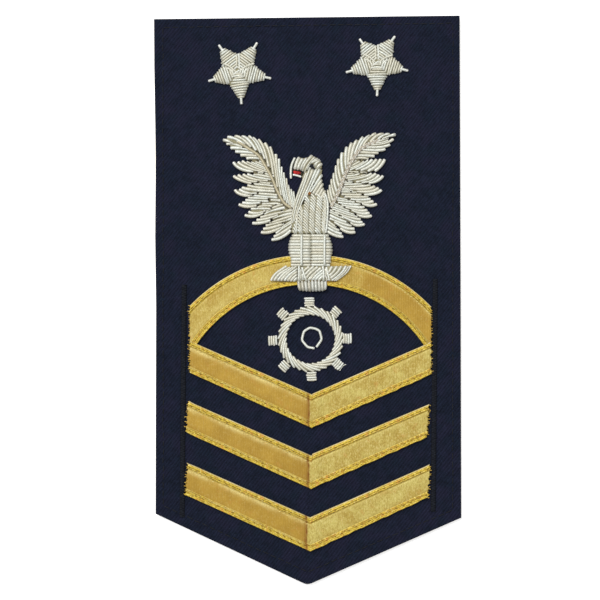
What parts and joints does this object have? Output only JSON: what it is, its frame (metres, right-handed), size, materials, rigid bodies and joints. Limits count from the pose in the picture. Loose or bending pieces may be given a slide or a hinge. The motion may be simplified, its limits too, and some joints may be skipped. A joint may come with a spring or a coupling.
{
  "type": "rank chevron patch",
  "caption": "Sleeve rank patch: navy cloth shield with gold lace chevrons under an arch, and a raised silver bullion gear, eagle and stars.",
  "frame": {"origin": "middle of the patch's bounding box, on the back face that is sewn to the sleeve", "axes": "+Y up the patch from its point to the stars, +Z out of the embroidered face, +X to the viewer's right"},
  "size_m": [0.1046, 0.1934, 0.006],
  "materials": {
    "serge": "matte",
    "backing": "matte",
    "gold_lace": "satin",
    "silver_bullion": "satin",
    "dark_thread": "matte",
    "red_thread": "satin"
  },
  "bodies": {
    "root": {"ground_cloth": "serge", "backing": "backing", "seam_left": "dark_thread", "seam_right": "dark_thread", "tongue": "red_thread", "rocker": "gold_lace", "chevron_lower": "gold_lace", "chevron_middle": "gold_lace", "chevron_upper": "gold_lace", "star_left": "silver_bullion", "star_right": "silver_bullion", "gear_rim": "silver_bullion", "gear_hub": "silver_bullion", "gear_tooth_1": "silver_bullion", "gear_tooth_2": "silver_bullion", "gear_tooth_3": "silver_bullion", "gear_tooth_4": "silver_bullion", "gear_tooth_5": "silver_bullion", "gear_tooth_6": "silver_bullion", "gear_tooth_7": "silver_bullion", "gear_tooth_8": "silver_bullion", "covert_left": "silver_bullion", "covert_right": "silver_bullion", "rib_left": "silver_bullion", "rib_right": "silver_bullion", "feather_left_1": "silver_bullion", "feather_left_2": "silver_bullion", "feather_left_3": "silver_bullion", "feather_left_4": "silver_bullion", "feather_left_5": "silver_bullion", "feather_left_6": "silver_bullion", "feather_left_7": "silver_bullion", "feather_left_8": "silver_bullion", "feather_left_9": "silver_bullion", "feather_right_1": "silver_bullion", "feather_right_2": "silver_bullion", "feather_right_3": "silver_bullion", "feather_right_4": "silver_bullion", "feather_right_5": "silver_bullion", "feather_right_6": "silver_bullion", "feather_right_7": "silver_bullion", "feather_right_8": "silver_bullion", "feather_right_9": "silver_bullion", "head": "silver_bullion", "beak_upper": "silver_bullion", "beak_lower": "silver_bullion", "neck": "silver_bullion", "breast": "silver_bullion", "thigh_left": "silver_bullion", "thigh_right": "silver_bullion", "leg_cord_left": "silver_bullion", "leg_cord_right": "silver_bullion", "perch_left": "silver_bullion", "perch_centre": "silver_bullion", "perch_right": "silver_bullion", "tail": "silver_bullion"}
  },
  "joints": []
}
